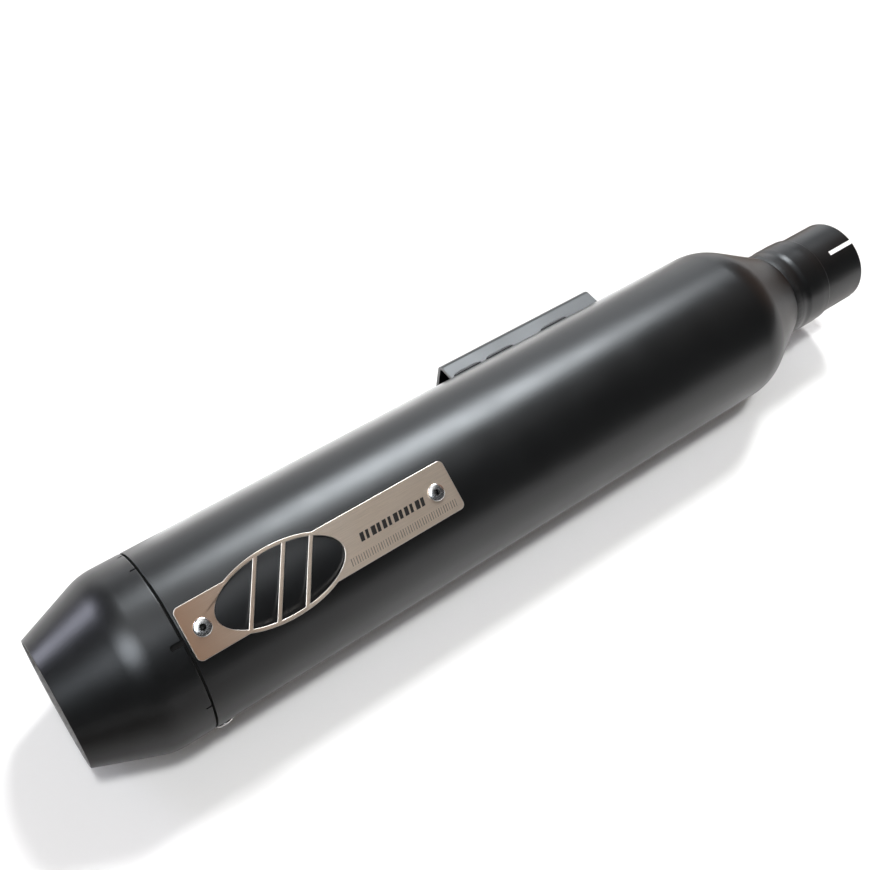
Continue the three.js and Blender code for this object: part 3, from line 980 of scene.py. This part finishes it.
def make_marks(name, material, along, across, slant, pitch, widths):
    """A row of plain slanted bars on the plate, their widths taken in turn from a short list."""
    start, end = along
    low, high = across
    sunk, raised = 0.05 * MM, 0.012 * MM
    bm = bmesh.new()
    place = on_body(OVAL_X, PLATE_ANGLE) @ Matrix.Translation((0, 0, PLATE_TOP))
    for i in range(int((end - start) / pitch)):
        u = start + i * pitch
        width = widths[i % len(widths)]
        outline = [(u, low), (u + width, low), (u + width + slant, high), (u + slant, high)]
        prism(bm, outline, -sunk, raised, place)
    return piece(name, finished(bm), material, "nameplate_steel")


def make_etching():
    """A bold row of bars along the middle of the plate, and a faint row of ticks along its edge."""
    make_marks(
        "nameplate_bold_marks", ETCHED, along=(45 * MM, 88.5 * MM), across=(-2.8 * MM, 1.6 * MM),
        slant=0.9 * MM, pitch=3.4 * MM, widths=(2.3 * MM, 1.7 * MM, 2.6 * MM, 2.0 * MM))
    make_marks(
        "nameplate_fine_marks", FAINT, along=(35 * MM, 101 * MM), across=(-11.3 * MM, -7.5 * MM),
        slant=0.6 * MM, pitch=1.5 * MM, widths=(0.5 * MM, 0.35 * MM, 0.5 * MM))


# ------------------------------------------------------------------ rivets

def arc_down(low, high, near, far, steps):
    """A quarter oval from (high, near) down to (low, far), as (height, radius) points."""
    points = []
    for step in range(steps + 1):
        angle = math.pi / 2 * step / steps
        points.append((low + (high - low) * math.cos(angle), near + (far - near) * math.sin(angle)))
    return points


def make_rivet(node, seat, grip):
    """A blind rivet from its seat, on the outer sheet, to the grip, the inner sheet's far side."""
    place = on_body(rivet_x(node), RIVET_ANGLES[node])
    top = seat + RIVET_HEAD
    tail = grip - 2 * GAP
    tail_end = tail - RIVET_TAIL
    make_rivet_body(node, place, seat, top, tail, tail_end)
    make_rivet_pin(node, place, top - PIN_SUNK, tail_end - GAP)


def make_rivet_body(node, place, seat, top, tail, tail_end):
    """A domed head with a rolled rim, its shank, and the tail swollen behind the sheets."""
    swell = RIVET_R + 0.8 * MM
    rim, lip = 0.35 * MM, 0.2 * MM
    head = arc_down(seat + rim, top, RIVET_BORE + lip, RIVET_HEAD_R, 20)
    profile = head + [
        (seat + 0.12 * MM, RIVET_HEAD_R + 0.01 * MM),
        (seat, RIVET_HEAD_R - 0.15 * MM),
        (seat, RIVET_R),
        (tail, RIVET_R),
        (tail - 0.5 * MM, swell),
        (tail - 1.2 * MM, swell + 0.15 * MM),
        (tail - 2.2 * MM, swell),
        (tail_end, RIVET_R),
        (tail_end, RIVET_BORE),
        (top - 0.3 * MM, RIVET_BORE),
    ]
    mesh = upright(profile, 72)
    mesh.transform(place)
    piece(node + "_body", mesh, RIVET, "rivet_steel", node, sharp=35)


def make_rivet_pin(node, place, top, end):
    """The rest of the mandrel: torn off unevenly inside the head, with its ball behind the tail."""
    stub = RIVET_BORE - 0.3 * MM
    ball = 2.1 * MM
    mesh = upright([
        (top - 0.1 * MM, 0),
        (top, stub * 0.35),
        (top - 0.12 * MM, stub * 0.7),
        (top - 0.3 * MM, stub),
        (end, stub),
        (end, ball - 0.15 * MM),
        (end - 0.2 * MM, ball),
        (end - 1.2 * MM, ball),
        (end - 1.9 * MM, ball - 0.6 * MM),
        (end - 2.2 * MM, ball - 1.3 * MM),
        (end - 2.3 * MM, 0),
    ], 32)
    for vertex in mesh.vertices:
        if vertex.co.z > top - 0.2 * MM:
            vertex.co.z += 0.12 * MM * noise.noise(vertex.co / (0.6 * MM))
    mesh.transform(place)
    piece(node + "_pin", mesh, PIN, "rivet_steel", node + "_mandrel", sharp=35)


# ------------------------------------------------------------------ stage, lights and camera

# Where the floor is painted darker in reflections and bounced light: the place, how far its middle and its
# faded edge reach, and its shade.
DARK_PLACES = (
    ((-0.88, -0.42, -BODY_R), 0.34, 0.62, (0.07, 0.062, 0.056)),  # painted shade and dark reflection of someone standing off the outlet end
    ((0.12, 0.09, -BODY_R), 0.05, 0.20, (0.20, 0.14, 0.10)),  # painted dark brown reflection beyond the inlet
)


def make_floor():
    """A pale floor. Its dark places are painted shade and painted reflection: the camera doesn't see them,
    only reflections and bounced light do.
    """
    mesh = bpy.data.meshes.new("floor")
    half = 6.0
    low = -BODY_R
    corners = [(-half, -half, low), (half, -half, low), (half, half, low), (-half, half, low)]
    mesh.from_pydata(corners, [], [(0, 1, 2, 3)])
    floor = bpy.data.objects.new("floor", mesh)
    bpy.context.scene.collection.objects.link(floor)
    s = Shader("floor", Roughness=0.9, Specular_IOR_Level=0.0)
    pale = s.blend(s.noise(0.4, 2.0), (0.87, 0.87, 0.865), (0.885, 0.885, 0.88))
    shown = s.node("ShaderNodeLightPath").outputs["Is Camera Ray"]
    colour = pale
    for place, middle, edge, shade in DARK_PLACES:
        links = ((0, s.coordinates), (1, place))
        away = s.node("ShaderNodeVectorMath", links, operation="DISTANCE").outputs["Value"]
        dark = s.range(away, 1.0, 0.0, middle, edge)
        reflected = s.node("ShaderNodeMath", ((0, dark), (1, shown)), operation="SUBTRACT", use_clamp=True)
        colour = s.blend(reflected.outputs[0], colour, shade)
    s.feed("Base Color", colour)
    mesh.materials.append(s.material)


def direction(azimuth, elevation):
    """A unit vector, with azimuth in degrees from +X towards +Y."""
    a, e = math.radians(azimuth), math.radians(elevation)
    return Vector((math.cos(e) * math.cos(a), math.cos(e) * math.sin(a), math.sin(e)))


# Soft lamps far away: azimuth, elevation, the half angles of the even middle and of the faded edge,
# brightness and colour.
GLOWS = (
    (-142, 67.5, 8, 21, 10.0, (0.93, 1.0, 1.08)),  # soft box over the outlet end
    (0, 88, 10, 30, 1.0, (1.0, 1.0, 1.0)),  # ceiling
    (122, 24, 5, 14, 9.5, (0.92, 0.94, 1.12)),  # strip beside the outlet
    (64, 0, 20, 38, 1.4, (0.97, 1.0, 1.04)),  # pale wall behind
    (5, 20, 8, 30, 0.14, (1.8, 0.9, 0.5)),  # warm dark wood at the inlet end
)
ROOM = (0.045, 0.046, 0.048)
FILL = (0.235, 0.205, 0.185)  # the even light on matt things, besides the two suns
WHITE = (1.0, 1.0, 1.0)


def make_world():
    """A dark room with soft lamps in it. It looks white to the camera, and lights matt things evenly."""
    world = bpy.data.worlds.new("room")
    bpy.context.scene.world = world
    world.use_nodes = True
    tree = world.node_tree
    tree.nodes.clear()

    def add(kind, **values):
        made = tree.nodes.new(kind)
        for key, value in values.items():
            setattr(made, key, value)
        return made

    output = add("ShaderNodeOutputWorld")
    way = add("ShaderNodeTexCoord").outputs["Generated"]
    total = None
    for azimuth, elevation, core, edge, strength, colour in GLOWS:
        towards = add("ShaderNodeVectorMath", operation="DOT_PRODUCT")
        tree.links.new(way, towards.inputs[0])
        towards.inputs[1].default_value = direction(azimuth, elevation)
        fade = add("ShaderNodeMapRange", interpolation_type="SMOOTHSTEP")
        tree.links.new(towards.outputs["Value"], fade.inputs["Value"])
        fade.inputs["From Min"].default_value = math.cos(math.radians(edge))
        fade.inputs["From Max"].default_value = math.cos(math.radians(core))
        lit = add("ShaderNodeVectorMath", operation="MULTIPLY_ADD")
        tree.links.new(fade.outputs["Result"], lit.inputs[0])
        lit.inputs[1].default_value = Vector(colour) * strength
        if total:
            tree.links.new(total, lit.inputs[2])
        else:
            lit.inputs[2].default_value = ROOM
        total = lit.outputs["Vector"]
    room = add("ShaderNodeBackground")
    tree.links.new(total, room.inputs["Color"])
    path = add("ShaderNodeLightPath")
    shown = room
    for rays, colour in (("Is Diffuse Ray", FILL), ("Is Camera Ray", WHITE)):
        flat = add("ShaderNodeBackground")
        flat.inputs["Color"].default_value = (*colour, 1)
        mix = add("ShaderNodeMixShader")
        tree.links.new(path.outputs[rays], mix.inputs[0])
        tree.links.new(shown.outputs[0], mix.inputs[1])
        tree.links.new(flat.outputs[0], mix.inputs[2])
        shown = mix
    tree.links.new(shown.outputs[0], output.inputs["Surface"])


def make_window():
    """A window behind the bracket. It makes the long highlight, and leaves lighting the floor to the sun."""
    middle = Vector((OUTLET_X / 2, 0, 0))
    way, distance = direction(55, 52), 2.2
    light = bpy.data.lights.new("window", "AREA")
    light.shape = "RECTANGLE"
    light.size, light.size_y = 1.1, 0.8
    light.energy = 58
    light.color = (0.94, 1.0, 1.05)
    lamp = place_lamp(light, way)
    lamp.location = middle + way * distance
    lamp.visible_diffuse = False


def make_bounce():
    """Bright floor behind the part. It makes the light line along the upper edge."""
    towards_inlet, behind = 0.045, 0.29
    light = bpy.data.lights.new("bounce", "AREA")
    light.shape = "RECTANGLE"
    light.size, light.size_y = 0.46, 0.4
    light.energy = 0.94
    lamp = place_lamp(light, Vector((0, 0, -1)))
    lamp.location = (OUTLET_X / 2 + towards_inlet, behind, -BODY_R + 1 * MM)
    lamp.visible_diffuse = False


def make_suns():
    """The window's and the soft box's light on the floor. They make no highlight, as those two do that."""
    for name, energy, spread, way in (
        ("window_sun", 1.9, 9, direction(35, 56)),
        ("soft_box_sun", 1.42, 7, direction(-100, 78.5)),
    ):
        light = bpy.data.lights.new(name, "SUN")
        light.energy = energy
        light.angle = math.radians(spread)
        place_lamp(light, way).visible_glossy = False


def place_lamp(light, way):
    """Puts a light in the scene that shines from this way."""
    lamp = bpy.data.objects.new(light.name, light)
    lamp.rotation_mode = "QUATERNION"
    lamp.rotation_quaternion = (-way).to_track_quat("-Z", "Y")
    lamp.visible_camera = False
    bpy.context.scene.collection.objects.link(lamp)
    return lamp


def make_camera():
    """A camera off the outlet end that looks down at the side with the nameplate."""
    lens, sensor = 46.7, 36.0
    data = bpy.data.cameras.new("camera")
    data.lens = lens
    data.sensor_width = sensor
    camera = bpy.data.objects.new("camera", data)
    camera.location = (OUTLET_X - 17.1 * MM, -266.1 * MM, 524.9 * MM)
    camera.rotation_euler = (math.radians(37.01), math.radians(-4.20), math.radians(-36.58))
    bpy.context.scene.collection.objects.link(camera)
    bpy.context.scene.camera = camera


# ------------------------------------------------------------------ the whole

make_end_cap()
make_body()
make_front_cone()
make_neck_weld()
make_neck_sleeve()
make_inlet_tube()
make_spigot()
make_outlet_tube()
make_bulkhead("rear_bulkhead", False, OUTLET_TUBE_R + GAP, SPIGOT_BORE - GAP)
make_bulkhead("front_bulkhead", True, CORE_R + GAP, SPIGOT_R)
make_core()
wool_r = outer_radius("core_wool")
make_wrap("core_wool_wrap", "core_wool", wool_r, CORE_R + GAP, WOOL, "steel_wool", 0.5 * MM)
make_wrap("packing_blanket_wrap", "packing_blanket", SPIGOT_R, wool_r + GAP, FIBRE, "glass_fibre", 1.2 * MM)
make_bracket()
for number in (1, 2, 3):
    make_stitch(f"bracket_weld_upper_{number}", 1)
    make_stitch(f"bracket_weld_lower_{number}", -1)
make_nameplate()
make_etching()
for node in CAP_RIVETS:
    make_rivet(node, BODY_R, SPIGOT_BORE)
make_rivet(PLATE_RIVETS[0], PLATE_TOP, SPIGOT_BORE)
make_rivet(PLATE_RIVETS[1], PLATE_TOP, BODY_BORE)

make_floor()
make_world()
make_window()
make_bounce()
make_suns()
make_camera()
bpy.context.scene.view_settings.view_transform = "Standard"
